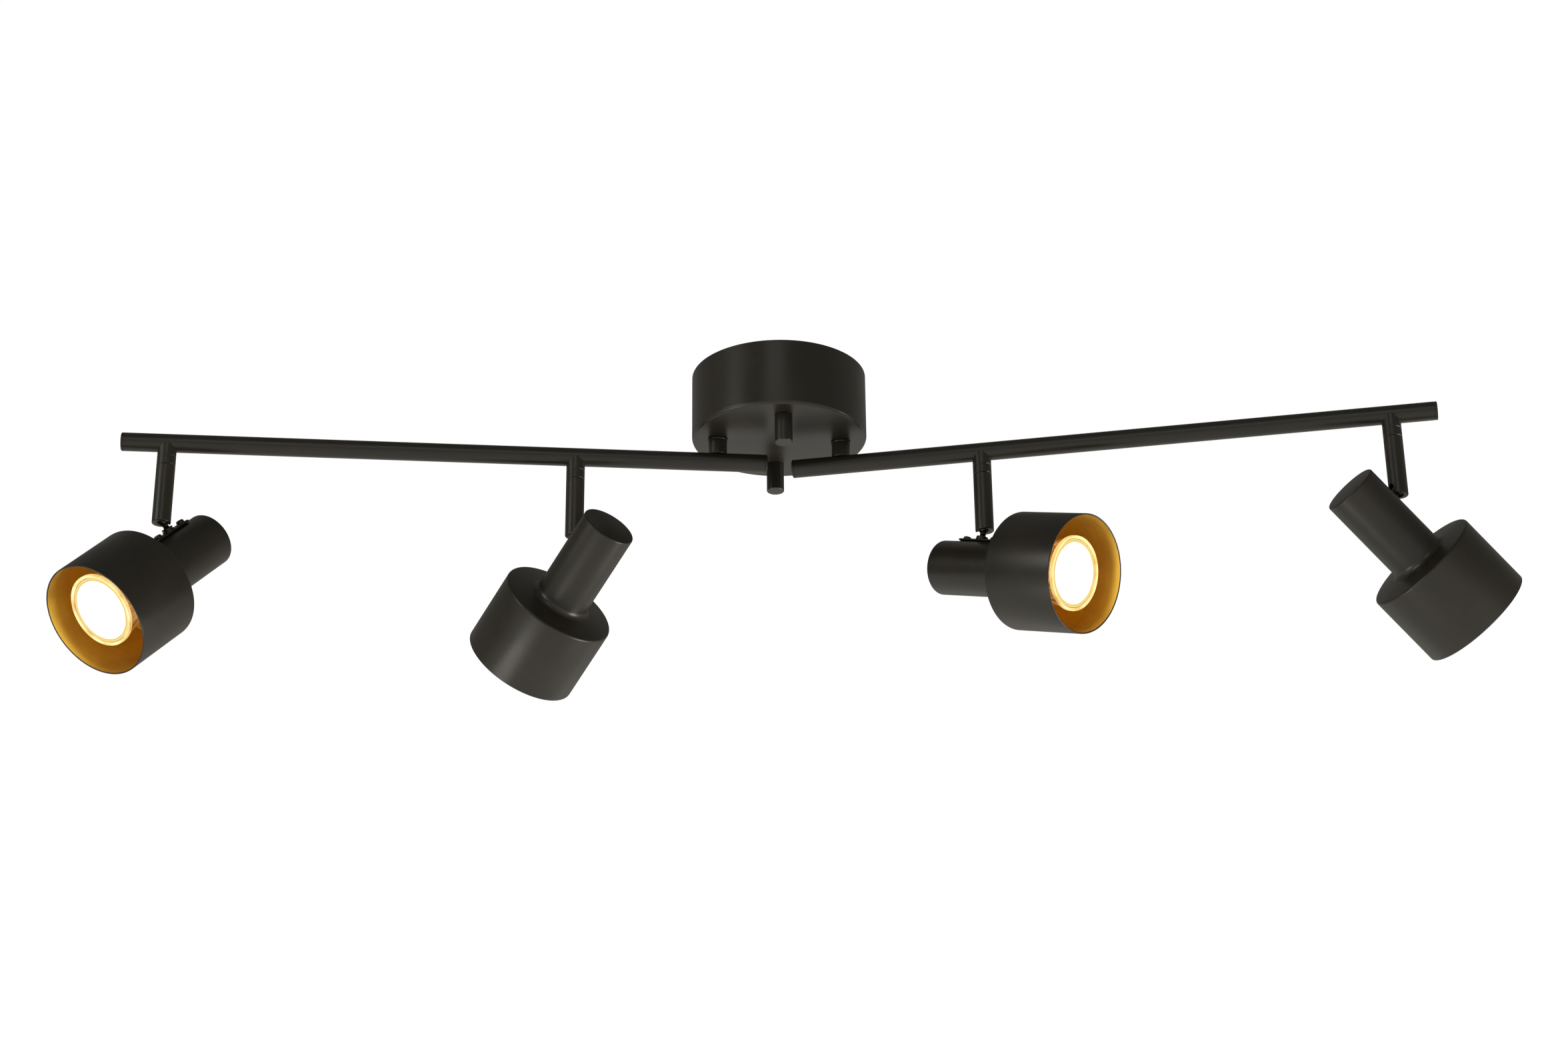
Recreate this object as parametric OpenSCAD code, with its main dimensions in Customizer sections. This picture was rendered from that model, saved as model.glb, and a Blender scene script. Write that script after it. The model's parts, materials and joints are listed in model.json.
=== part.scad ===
// Ceiling spotlight bar: a round canopy, two bars that swivel under it, and four spot heads.
// Each head turns about its stem and tilts on a ball knuckle in the stem's lower end.
// Origin: centre of the canopy, in the ceiling plane. +X along the bars, +Z up into the ceiling.

/* [Canopy] */
// Outer diameter of the canopy
canopy_d = 121.6; // [104:0.1:150]
// Height of the canopy
canopy_h = 48; // [35:0.5:70]
// Sheet thickness of the canopy
canopy_wall = 1.2; // [0.8:0.1:2]
// Outside radius of the canopy's lower edge
canopy_edge = 2.5; // [1:0.1:5]
// Distance between the two posts
post_span = 85.8; // [78:0.1:92]
// Distance between the two cap nuts
nut_span = 81; // [70:1:92]
// Diameter of a cap nut
cap_nut_d = 12.2; // [9:0.1:14]
// Length of a cap nut
cap_nut_h = 20.2; // [12:0.1:30]

/* [Bracket] */
// Width of the mounting bracket
bracket_w = 20; // [16:1:30]
// Thickness of the bracket's steel
bracket_t = 2; // [1.5:0.1:3]
// Distance between the two ceiling slots
slot_span = 46; // [44:1:48]
// End-to-end length of a ceiling slot
slot_length = 12; // [8:1:13]
// Width of a ceiling slot
slot_w = 4.6; // [4:0.1:6]
// Thread diameter of the screws that hold the canopy
bracket_screw_d = 4; // [3:0.5:5]

/* [Bars] */
// Outer diameter of the bars, posts and stems
tube_d = 12.7; // [11.5:0.1:15]
// Wall of a bar
bar_wall = 1; // [0.8:0.1:1.2]
// Reach of a bar from its post to its outer end
bar_reach = 406.5; // [400:0.5:600]
// Tail of a bar from its post to its inner end
bar_tail = 34.2; // [20:0.1:36]
// Distance along a bar from its post to the inner stem
inner_stem_at = 98.3; // [90:0.1:140]
// Distance along a bar from its post to the outer stem
outer_stem_at = 375.5; // [300:0.5:390]
// Direction of the left bar, positive with its outer end to the front
left_swing = 1.8; // [-45:0.1:45]
// Direction of the right bar, positive with its outer end to the front
right_swing = 15.2; // [-45:0.1:45]
// Thickness of the ring round a post at the canopy
post_ring_t = 1.7; // [1:0.1:3]
// Length of a post between its ring and the top of the bar
post_collar_h = 8.8; // [6:0.1:20]
// Thickness of the visible disc of a bar's end cap
end_cap_t = 1.9; // [1:0.1:4]

/* [Stems] */
// Length of the collar between the bar and the spindle's ring
stem_collar_h = 4.6; // [3:0.1:10]
// Height of the spindle's ring
spindle_ring_h = 6.3; // [4:0.1:10]
// Length of the turning tube of a stem
stem_tube_h = 42.1; // [30:0.1:120]
// Wall of the turning tube
stem_wall = 1.2; // [1:0.1:1.5]
// Height of the knuckle's ball centre above the stem's lower end
ball_rise = 3.2; // [1.8:0.1:4]
// Height of the slot's round top above the stem's lower end
slot_top = 7.6; // [6:0.1:12]
// Width of the slot that the knuckle swings through
stem_slot_w = 5; // [4.6:0.1:6]

/* [Spot heads] */
// Diameter of the narrow tube of a head
neck_d = 37.3; // [33:0.1:45]
// Length of the narrow tube, from its closed end to the shoulder
neck_h = 65.9; // [55:0.1:90]
// Diameter of the shade
shade_d = 79.6; // [68:0.1:110]
// Length of the shade, from the shoulder to its rim
shade_h = 55.2; // [40:0.1:80]
// Sheet thickness of a head
shell_wall = 1; // [0.8:0.1:1.4]
// Concave radius between the narrow tube and the shoulder
shoulder_fillet = 4.7; // [2:0.1:8]
// Drop of the shoulder from the narrow tube to its edge
shoulder_drop = 1.7; // [0:0.1:4]
// Outside radius of the shoulder's edge
shoulder_edge = 1.7; // [1.2:0.1:3]
// Distance along a head from its closed end to the knuckle
knuckle_at = 28; // [22:0.1:36]
// Length of a knuckle from its ball centre to the plate
knuckle_reach = 9.5; // [8:0.1:16]
// Recess of the lamp's front edge behind the rim
lamp_recess = 7.8; // [4:0.1:20]
// Pan angle of each head, counted from +X towards the back
pan = [224.6, 125.9, -44.7, 21.9];
// Tilt of each head below level
tilt = [44.5, 34.6, 17.6, 38.9];

/* [Plates] */
// Length of the plate on a head
plate_l = 32.1; // [31:0.1:36]
// Width of the plate
plate_w = 9.5; // [8.8:0.1:12]
// Thickness of the plate
plate_t = 1.7; // [1:0.1:3]
// Distance between the two plate screws
plate_screw_span = 23.6; // [20:0.1:25]
// Distance from the knuckle to the middle of the plate, towards the closed end
plate_offset = 1; // [0:0.1:2]

/* [Lamps] */
// Diameter of the lamp's front
lamp_d = 50; // [45:1:51]
// Length of the lamp without its pins
lamp_h = 46; // [42:1:60]
// Lean of each lamp in its holder, with its front towards the plate
lamp_lean = [3.9, 0, 0, 0];

/* [Fits] */
// Radial clearance of a pivot that turns
swivel_fit = 0.06; // [0.03:0.01:0.1]
// Radial clearance of the ball in its seat
ball_fit = 0.1; // [0.05:0.01:0.1]
// Gap between faces of pieces that turn against each other
face_gap = 0.3; // [0.2:0.05:0.5]
// Gap between faces of pieces that are fastened together
seat_gap = 0.02; // [0.01:0.01:0.05]

/* [Hidden] */
$fn = 96;
SIDES = ["left", "right"];
HEADS = [1, 2, 3, 4];

black = [0.13, 0.13, 0.12];
steel = [0.70, 0.71, 0.72];
brass = [0.78, 0.62, 0.30];
ceramic = [0.90, 0.88, 0.83];
lead_grey = [0.80, 0.80, 0.78];

tube_r = tube_d / 2;
canopy_r = canopy_d / 2;
neck_r = neck_d / 2;
shade_r = shade_d / 2;
lamp_r = lamp_d / 2;
cut = 1;                 // overrun of a cutting shape past the face it cuts
edge_break = 0.25;       // small chamfer on turned edges

// Heights, from the ceiling down
canopy_floor_z = -canopy_h + canopy_wall;
ring_bottom_z = -canopy_h - seat_gap - post_ring_t;
post_top_z = ring_bottom_z - face_gap;
bar_z = post_top_z - post_collar_h - tube_r;
collar_bottom_z = bar_z - tube_r - stem_collar_h;
spindle_ring_bottom_z = collar_bottom_z - seat_gap - spindle_ring_h;
stem_top_z = spindle_ring_bottom_z - face_gap;
stem_end_z = stem_top_z - stem_tube_h;
pivot_z = stem_end_z + ball_rise;

// Bracket and canopy fixings
joggle = 3;              // how far the bracket's ends stand off the ceiling
bracket_flat = nut_span / 2 - 7;
bracket_end = nut_span / 2 + 6;
screw_head_h = 2.2;
screw_head_r = bracket_screw_d * 0.95;
screw_grip = 15;         // length of screw inside a cap nut
hex_nut_h = bracket_screw_d * 0.8;
hex_nut_r = bracket_screw_d * 1.01;

// Terminal block and leads
poles = [-9.6, 0, 9.6];
block_w = 16;
block_l = 29;
block_h = 12;
block_top_z = -bracket_t - seat_gap;
pole_z = block_top_z - 7;
pole_bore_r = 1.7;
block_screw_r = 1.5;
block_screw_x = 4.2;
earth_x = bracket_w / 2 + 4;
earth_y = 12;
lead_r = 2.2;
lead_bend = 7;
lead_end_z = -canopy_h - 3;

post_saddle = 1.5;       // how far a post's foot reaches down over the bar

// Swivel of a bar: hollow nipple, flanged nut
nipple_r = 4;
nipple_bore_r = 2.8;
nut_flange_r = 7.2;
nut_flange_h = 1.2;
nut_hex_r = 6.9;
nut_h = 5;
nut_bottom_z = canopy_floor_z + 0.2;
nipple_top_z = nut_bottom_z + nut_h + 2;
nipple_end_z = bar_z + tube_r / 3;

// Spindle on which a stem turns
spigot_r = 3.6;
spigot_bore_r = 2.1;
journal_r = 3;
swage_r = 4.2;
swage_h = 1.2;
stem_head_t = 3;         // solid top of a stem tube
stem_bore_r = tube_r - stem_wall;

// Knuckle: ball, neck and nuts
ball_r = stem_bore_r - ball_fit;
neck_pin_r = 2.1;
neck_pin_bore_r = 1.1;
rib_r = 4.3;
rib_h = 0.9;
waist_r = 3.5;
nut_stack_h = 2.6;
lock_nut_r = 4.4;
lock_nut_h = 2.4;

// Head, along its own axis from the closed end
head_drop = knuckle_reach + plate_t + seat_gap + neck_r;
head_h = neck_h + shade_h;
cap_edge = 1.2;
shell_hole_r = neck_pin_r + 0.3;
plate_screw_r = 1.5;
plate_screw_head_r = 2.8;
plate_screw_head_h = 2.1;
plate_screw_l = 4;
plate_screws_x = [-plate_offset - plate_screw_span / 2, -plate_offset + plate_screw_span / 2];
lamp_front = head_h - lamp_recess;
lamp_back = lamp_front - lamp_h;
lamp_base_r = 9.5;
lamp_base_h = 12;
lamp_glass_t = 2.4;
lamp_seat = 0.8;         // gap behind the base, so that a lamp can lean a little in its holder
lamp_lip = 1.6;          // width of the lamp's front ring outside its glass
lamp_skin = 1.4;
pin_span = 10;
pin_r = 1.5;
pin_head_r = 2.5;
pin_h = 7;
holder_r = 12;
holder_h = 14;
holder_step_r = 8.5;
holder_step_h = 6;
holder_front = lamp_back - lamp_seat;
holder_back = holder_front - holder_h - holder_step_h;
strap_w = 8;
strap_t = 1;
strap_top = -head_drop + sqrt(pow(neck_r - shell_wall, 2) - pow(strap_w / 2, 2)) - seat_gap;
lock_nut_top = strap_top - strap_t - seat_gap;
neck_pin_end = lock_nut_top - lock_nut_h - 1.2;

function arc(cx, cy, r, a0, a1, n = 6) =
  [for (i = [0:n]) let (a = a0 + (a1 - a0) * i / n) [cx + r * cos(a), cy + r * sin(a)]];
function side_sign(side) = side == "left" ? -1 : 1;
function swing(side) = side == "left" ? 180 + left_swing : -right_swing;
function head_side(h) = h < 3 ? "left" : "right";
function head_at(h) = h == 1 || h == 4 ? outer_stem_at : inner_stem_at;

// ---------- placing ----------

// A bar's own frame: origin on its post's axis, +X towards its outer end
module on_post(side)
  translate([side_sign(side) * post_span / 2, 0, 0]) rotate([0, 0, swing(side)]) children();

// A stem's own frame: origin at the ball centre, +X the way its head points
module on_stem(h) {
  side = head_side(h);
  translate([side_sign(side) * post_span / 2 + head_at(h) * cos(swing(side)),
             head_at(h) * sin(swing(side)), pivot_z])
    rotate([0, 0, pan[h - 1]]) children();
}

// A head's own frame: origin at the ball centre, +X along the head, +Z out of its plate
module on_head(h)
  on_stem(h) rotate([0, tilt[h - 1], 0]) children();

// Turns a shape made round +Z so that it lies along a head, from its closed end
module along_head()
  translate([-knuckle_at, 0, -head_drop]) rotate([0, 90, 0]) children();

// A lamp's own frame: origin at the middle of its base's back face, +Z out of its front
module on_lamp(h)
  on_head(h) along_head() translate([0, 0, lamp_back]) rotate([0, -lamp_lean[h - 1], 0]) children();

// A standing solid of revolution between two heights, with small chamfers
module turned(r, z0, z1, bevel = edge_break)
  rotate_extrude() polygon([[0, z0], [r - bevel, z0], [r, z0 + bevel], [r, z1 - bevel],
                            [r - bevel, z1], [0, z1]]);

module drill(r, z0, z1)
  translate([0, 0, z0]) cylinder(r = r, h = z1 - z0);

// The bar's own outer cylinder, used to cope the collars to it
module bar_envelope(gap)
  translate([-tube_d, 0, bar_z]) rotate([0, 90, 0]) cylinder(r = tube_r + gap, h = 2 * tube_d);

module pan_head(r, h)
  rotate_extrude() polygon(concat([[0, 0], [r, 0]], arc(r - h * 0.6, h * 0.4, h * 0.6, 0, 90),
                                  [[0, h]]));

module cross_recess(r, depth)
  for (a = [0, 90]) rotate([0, 0, a])
    translate([-r, -r * 0.16, -depth]) cube([2 * r, r * 0.32, depth + cut]);

// ---------- canopy ----------

module canopy_shell() color(black) {
  inner_edge = max(canopy_edge - canopy_wall, 0.2);
  inner_r = canopy_r - canopy_wall;
  difference() {
    rotate_extrude()
      polygon(concat([[canopy_r, 0]],
                     arc(canopy_r - canopy_edge, -canopy_h + canopy_edge, canopy_edge, 0, -90),
                     [[0, -canopy_h], [0, canopy_floor_z]],
                     arc(inner_r - inner_edge, canopy_floor_z + inner_edge, inner_edge, -90, 0),
                     [[inner_r, 0]]));
    for (s = [-1, 1]) {
      translate([s * post_span / 2, 0, 0])
        drill(nipple_r + swivel_fit, -canopy_h - cut, canopy_floor_z + cut);
      translate([0, s * nut_span / 2, 0])
        drill(bracket_screw_d / 2 + 0.25, -canopy_h - cut, canopy_floor_z + cut);
    }
  }
}

module mounting_bracket() color(steel) {
  shift = bracket_t * 0.414;   // keeps the 45-degree joggle at full thickness
  half = [[bracket_flat, 0], [bracket_flat + joggle, -joggle], [bracket_end, -joggle],
          [bracket_end, -joggle - bracket_t], [bracket_flat + joggle - shift, -joggle - bracket_t],
          [bracket_flat - shift, -bracket_t]];
  other = [for (i = [len(half) - 1:-1:0]) [-half[i][0], half[i][1]]];
  difference() {
    union() {
      rotate([90, 0, 90]) translate([0, 0, -bracket_w / 2])
        linear_extrude(bracket_w) polygon(concat(half, other));
      translate([bracket_w / 2 - cut, earth_y - 5, -bracket_t]) cube([9 + cut, 10, bracket_t]);
    }
    for (s = [-1, 1]) {
      for (e = [-1, 1]) translate([0, s * slot_span / 2 + e * (slot_length - slot_w) / 2, 0])
        drill(slot_w / 2, -bracket_t - cut, cut);
      translate([-slot_w / 2, s * slot_span / 2 - (slot_length - slot_w) / 2, -bracket_t - cut])
        cube([slot_w, slot_length - slot_w, bracket_t + 2 * cut]);
      translate([0, s * nut_span / 2, 0])
        drill(bracket_screw_d / 2 + 0.1, -joggle - bracket_t - cut, cut);
    }
    translate([earth_x, earth_y, 0]) drill(2.05, -bracket_t - cut, cut);
  }
}

// Two long screws that hang from the bracket, each locked by a nut under it
module bracket_fasteners() color(steel)
  for (s = [-1, 1]) translate([0, s * nut_span / 2, 0]) {
    difference() {
      union() {
        translate([0, 0, -joggle + seat_gap]) pan_head(screw_head_r, screw_head_h);
        drill(bracket_screw_d / 2, -canopy_h - screw_grip, -joggle + seat_gap + cut);
      }
      translate([0, 0, -joggle + screw_head_h]) cross_recess(screw_head_r * 0.6, 1);
    }
    translate([0, 0, -joggle - bracket_t - seat_gap - hex_nut_h]) difference() {
      cylinder(r = hex_nut_r, h = hex_nut_h, $fn = 6);
      drill(bracket_screw_d / 2 + seat_gap, -cut, hex_nut_h + cut);
    }
  }

module cap_nuts() color(black)
  for (s = [-1, 1]) translate([0, s * nut_span / 2, 0]) difference() {
    turned(cap_nut_d / 2, -canopy_h - seat_gap - cap_nut_h, -canopy_h - seat_gap, 0.35);
    drill(bracket_screw_d / 2 + seat_gap, -canopy_h - screw_grip - cut, -canopy_h + cut);
  }

module post_rings() color(black)
  for (s = [-1, 1]) translate([s * post_span / 2, 0, 0]) difference() {
    turned(tube_r + 0.4, ring_bottom_z, -canopy_h - seat_gap, 0.3);
    drill(nipple_r + swivel_fit, ring_bottom_z - cut, -canopy_h + cut);
  }

module terminal_block() color(ceramic)
  difference() {
    translate([0, 0, block_top_z - block_h]) union() {
      translate([-block_w / 2, -block_l / 2, block_h / 2 - 2]) cube([block_w, block_l, block_h / 2 + 2]);
      for (y = poles) translate([-block_w / 2 + 1, y - 3.6, 0]) cube([block_w - 2, 7.2, block_h / 2]);
    }
    for (y = poles) {
      translate([-block_w / 2 - cut, y, pole_z]) rotate([0, 90, 0])
        cylinder(r = pole_bore_r, h = block_w + 2 * cut);
      for (x = [-block_screw_x, block_screw_x]) translate([x, y, 0])
        drill(block_screw_r + seat_gap, block_top_z - block_h - cut, pole_z);
    }
  }

// Two screws for each pole of the block, and the earth screw on the bracket's tab
module terminal_screws() color(brass) {
  for (y = poles) for (x = [-block_screw_x, block_screw_x])
    translate([x, y, block_top_z - block_h + 1]) difference() {
      cylinder(r = block_screw_r, h = 3.5);
      translate([-2, -0.3, -cut]) cube([4, 0.6, 0.8 + cut]);
    }
  translate([earth_x, earth_y, 0]) mirror([0, 0, 1]) difference() {
    union() {
      translate([0, 0, bracket_t + seat_gap]) pan_head(3.4, 2.2);
      drill(2, 0.3, bracket_t + seat_gap + cut);
    }
    translate([0, 0, bracket_t + 2.2]) cross_recess(2.2, 0.9);
  }
}

// Two leads in their sheath, from the terminal block into the posts
module canopy_leads() color(lead_grey)
  for (s = [0, 1]) mirror([s, 0, 0]) {
    start_x = block_w / 2 + seat_gap;
    bend_x = post_span / 2 - lead_bend;
    translate([start_x, 0, pole_z]) rotate([0, 90, 0]) cylinder(r = lead_r, h = bend_x - start_x);
    translate([bend_x, 0, pole_z - lead_bend]) rotate([90, 0, 0])
      rotate_extrude(angle = 90) translate([lead_bend, 0]) circle(r = lead_r);
    translate([post_span / 2, 0, 0]) drill(lead_r, lead_end_z, pole_z - lead_bend);
  }

// ---------- bars ----------

module bar(side) color(black)
  on_post(side) difference() {
    translate([-bar_tail + end_cap_t, 0, bar_z]) rotate([0, 90, 0])
      cylinder(r = tube_r, h = bar_tail + bar_reach - 2 * end_cap_t);
    translate([-bar_tail - cut, 0, bar_z]) rotate([0, 90, 0])
      cylinder(r = tube_r - bar_wall, h = bar_tail + bar_reach + 2 * cut);
    drill(nipple_r + seat_gap, bar_z, bar_z + tube_d);
    for (x = [inner_stem_at, outer_stem_at]) translate([x, 0, 0])
      drill(spigot_r + seat_gap, bar_z - tube_d, bar_z);
  }

// Collars on the bar: the post with its shallow saddle, and a coped one under it for each stem
module bar_collars(side) color(black)
  on_post(side) {
    difference() {
      turned(tube_r, bar_z + tube_r - post_saddle, post_top_z);
      bar_envelope(seat_gap);
      drill(nipple_r + seat_gap, bar_z, post_top_z + cut);
    }
    for (x = [inner_stem_at, outer_stem_at]) translate([x, 0, 0]) difference() {
      turned(tube_r, collar_bottom_z, bar_z - cut);
      bar_envelope(seat_gap);
      drill(spigot_r + seat_gap, collar_bottom_z - cut, bar_z);
    }
  }

module swivel_nipple(side) color(brass)
  on_post(side) difference() {
    turned(nipple_r, nipple_end_z, nipple_top_z);
    drill(nipple_bore_r, nipple_end_z - cut, nipple_top_z + cut);
  }

module flange_nut(side) color(brass)
  on_post(side) difference() {
    translate([0, 0, nut_bottom_z]) union() {
      cylinder(r = nut_flange_r, h = nut_flange_h);
      cylinder(r = nut_hex_r, h = nut_h, $fn = 6);
    }
    drill(nipple_r + seat_gap, nut_bottom_z - cut, nut_bottom_z + nut_h + cut);
  }

// Two plugs with a visible disc, a fine groove and a stub in the tube
module end_caps(side) color(black) {
  stub = 6;
  groove = 0.35;
  profile = [[0, 0], [tube_r - 0.5, 0], [tube_r, 0.5], [tube_r, end_cap_t - groove],
             [tube_r - 0.5, end_cap_t - groove], [tube_r - 0.5, end_cap_t - seat_gap],
             [tube_r - bar_wall - seat_gap, end_cap_t - seat_gap],
             [tube_r - bar_wall - seat_gap, end_cap_t + stub], [0, end_cap_t + stub]];
  on_post(side) {
    translate([-bar_tail, 0, bar_z]) rotate([0, 90, 0]) rotate_extrude() polygon(profile);
    translate([bar_reach, 0, bar_z]) rotate([0, -90, 0]) rotate_extrude() polygon(profile);
  }
}

// Spindles: a spigot in the bar, a visible ring, and a swaged journal that holds the stem
module stem_spindles(side) color(black) {
  swage_top = stem_top_z - stem_head_t - 0.2;
  ring_top = collar_bottom_z - seat_gap;
  profile = [[spigot_bore_r, bar_z - tube_r + bar_wall + 2], [spigot_r, bar_z - tube_r + bar_wall + 2],
             [spigot_r, ring_top], [tube_r - edge_break, ring_top], [tube_r, ring_top - edge_break],
             [tube_r, spindle_ring_bottom_z + edge_break],
             [tube_r - edge_break, spindle_ring_bottom_z], [journal_r, spindle_ring_bottom_z],
             [journal_r, swage_top], [swage_r, swage_top], [swage_r, swage_top - swage_h],
             [spigot_bore_r, swage_top - swage_h]];
  on_post(side) for (x = [inner_stem_at, outer_stem_at]) translate([x, 0, 0])
    rotate_extrude() polygon(profile);
}

// ---------- stems ----------

// Turning tube: a thick top that turns on the spindle, a bore, and a swaged seat for the ball
module stem_tube(h) color(black) {
  top = stem_top_z - pivot_z;
  lip = 0.7;
  slot_r = stem_slot_w / 2;
  slot_z = slot_top - ball_rise - slot_r;
  on_stem(h) difference() {
    rotate_extrude()
      polygon(concat([[0, top], [tube_r - edge_break, top], [tube_r, top - edge_break]],
                     arc(tube_r - lip, -ball_rise + lip, lip, 0, -90),
                     [[0, -ball_rise]]));
    drill(journal_r + swivel_fit, 0, top + cut);
    drill(stem_bore_r, 0, top - stem_head_t);
    sphere(r = stem_bore_r);
    translate([0, 0, slot_z]) rotate([0, -90, 0]) cylinder(r = slot_r, h = tube_d);
    translate([-tube_d, -slot_r, -tube_d]) cube([tube_d, stem_slot_w, tube_d + slot_z]);
  }
}

// Ball and hollow threaded neck that runs through the plate into the head
module knuckle(h) color(steel)
  on_head(h) difference() {
    union() {
      sphere(r = ball_r);
      drill(neck_pin_r, neck_pin_end, 0);
    }
    drill(neck_pin_bore_r, neck_pin_end - cut, ball_r + cut);
  }

// Ribbed nut stack above the plate, and the lock nut inside the head
module knuckle_nuts(h) color(black) {
  base = -knuckle_reach + seat_gap;
  profile = [[neck_pin_r + seat_gap, base], [rib_r, base], [rib_r, base + rib_h],
             [waist_r, base + rib_h + 0.2], [waist_r, base + rib_h + 0.6],
             [rib_r - 0.3, base + rib_h + 0.7], [rib_r - 0.3, base + 2 * rib_h + 0.5],
             [waist_r - 0.5, base + nut_stack_h], [neck_pin_r + seat_gap, base + nut_stack_h]];
  on_head(h) {
    rotate_extrude() polygon(profile);
    difference() {
      translate([0, 0, lock_nut_top - lock_nut_h])
        cylinder(r = lock_nut_r, h = lock_nut_h, $fn = 6);
      drill(neck_pin_r + seat_gap, lock_nut_top - lock_nut_h - cut, lock_nut_top + cut);
    }
  }
}

// ---------- heads ----------

module knuckle_plate(h) color(black) {
  top = -knuckle_reach;
  on_head(h) difference() {
    translate([-plate_offset - plate_l / 2, -plate_w / 2, top - plate_t])
      cube([plate_l, plate_w, plate_t]);
    drill(neck_pin_r + seat_gap, top - plate_t - cut, top + cut);
    for (x = plate_screws_x) translate([x, 0, 0])
      drill(plate_screw_r + 0.1, top - plate_t - cut, top + cut);
  }
}

module plate_screws(h) color(black)
  on_head(h) for (x = plate_screws_x)
    translate([x, 0, -knuckle_reach + seat_gap]) difference() {
      union() {
        pan_head(plate_screw_head_r, plate_screw_head_h);
        drill(plate_screw_r, -plate_t - plate_screw_l, cut);
      }
      translate([0, 0, plate_screw_head_h]) cross_recess(plate_screw_head_r * 0.6, 0.8);
    }

// Outline of the head from its closed end to the rim, at an inset from the outer face
function head_outline(inset) =
  let (edge = max(cap_edge - inset, 0.3), fillet = shoulder_fillet + inset,
       outer_edge = shoulder_edge - inset, nr = neck_r - inset, sr = shade_r - inset,
       run = shade_r - neck_r - shoulder_fillet - shoulder_edge,
       lean = atan2(shoulder_drop, run),
       fillet_x = neck_r + shoulder_fillet, fillet_z = neck_h - shoulder_fillet,
       edge_z = neck_h + shoulder_drop + shoulder_edge)
  concat([[0, inset]], arc(nr - edge, inset + edge, edge, -90, 0, 5),
         [for (p = arc(fillet_x, fillet_z, fillet, 180, 90 + lean, 8)) p],
         arc(shade_r - shoulder_edge, edge_z, outer_edge, -90 + lean, 0, 6),
         [[sr, head_h]]);

module head_shell(h) color(black) {
  inner = head_outline(shell_wall);
  skin = concat(head_outline(0), [for (i = [len(inner) - 1:-1:0]) inner[i]]);
  on_head(h) difference() {
    along_head() rotate_extrude() polygon(skin);
    drill(shell_hole_r, -head_drop + neck_r / 2, 0);
    for (x = plate_screws_x) translate([x, 0, 0])
      drill(plate_screw_r + seat_gap, -head_drop + neck_r / 2, 0);
  }
}

// Angle strip inside the head: one leg under the knuckle's lock nut, the other behind the holder
module holder_bracket(h) color(steel) {
  leg_x = holder_back - knuckle_at - seat_gap - strap_t;
  on_head(h) difference() {
    union() {
      translate([-6, -strap_w / 2, strap_top - strap_t]) cube([leg_x + strap_t + 6, strap_w, strap_t]);
      translate([leg_x, -strap_w / 2, -head_drop]) cube([strap_t, strap_w, head_drop + strap_top]);
      translate([leg_x, 0, -head_drop]) rotate([0, 90, 0]) cylinder(r = holder_step_r, h = strap_t);
    }
    drill(neck_pin_r + seat_gap, strap_top - strap_t - cut, strap_top + cut);
    translate([plate_screws_x[1], 0, 0])
      drill(plate_screw_r + seat_gap, strap_top - strap_t - cut, strap_top + cut);
    for (s = [-1, 1]) translate([leg_x - cut, s * 4, -head_drop]) rotate([0, 90, 0])
      cylinder(r = 1.8, h = strap_t + 2 * cut);
  }
}

// Ceramic lamp holder: a round body with a stepped back and two keyhole pockets for the lamp's pins
module lampholder(h) color(ceramic)
  on_head(h) along_head() translate([0, 0, holder_front - holder_h]) difference() {
    union() {
      cylinder(r = holder_r, h = holder_h);
      translate([0, 0, -holder_step_h]) cylinder(r = holder_step_r, h = holder_step_h + cut);
    }
    for (s = [-1, 1]) translate([0, s * pin_span / 2, holder_h - pin_h - 1])
      cylinder(r = pin_head_r + 0.7, h = pin_h + 1 + cut);
  }

// Reflector lamp: base with two pins, a flaring body and the front ring round the glass
module lamp_body(h) color(steel)
  on_lamp(h) {
    steps = 6;
    bulge = 0.62;
    flare_h = lamp_h - lamp_base_h - 3;
    foot_r = lamp_base_r + 3;
    foot_bore_r = lamp_base_r + 1;
    flare_r = lamp_r - 0.6;
    bore_r = flare_r - lamp_skin;
    outer = [for (i = [0:steps]) let (t = i / steps)
             [foot_r + (flare_r - foot_r) * pow(t, bulge), lamp_base_h + flare_h * t]];
    inner = [for (i = [steps:-1:0]) let (t = i / steps)
             [foot_bore_r + (bore_r - foot_bore_r) * pow(t, bulge),
              lamp_base_h + 2.5 + (flare_h - 2.5) * t]];
    rotate_extrude() polygon(concat([[0, 0], [lamp_base_r, 0], [lamp_base_r, lamp_base_h - 1]], outer,
      [[lamp_r, lamp_h - 2.6], [lamp_r, lamp_h - 0.4], [lamp_r - 0.4, lamp_h],
       [lamp_r - lamp_lip + 0.3, lamp_h], [lamp_r - lamp_lip, lamp_h - 0.3],
       [lamp_r - lamp_lip, lamp_h - lamp_glass_t - 0.1]],
      inner, [[0, lamp_base_h + 2.5]]));
    for (s = [-1, 1]) translate([0, s * pin_span / 2, -pin_h]) {
      cylinder(r = pin_r, h = pin_h + cut);
      cylinder(r = pin_head_r, h = 2);
    }
  }

// Front glass of the lamp, slightly crowned
module lamp_glass(h) color([0.98, 0.95, 0.85]) {
  r = lamp_r - lamp_lip - seat_gap;
  crown = 0.5;
  ball = (r * r + crown * crown) / (2 * crown);
  half_angle = asin(r / ball);
  on_lamp(h) translate([0, 0, lamp_h])
    rotate_extrude()
      polygon(concat([[0, -lamp_glass_t], [r, -lamp_glass_t]],
                     arc(0, -0.3 - ball, ball, 90 - half_angle, 90, 5)));
}

// ---------- assembly ----------

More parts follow.
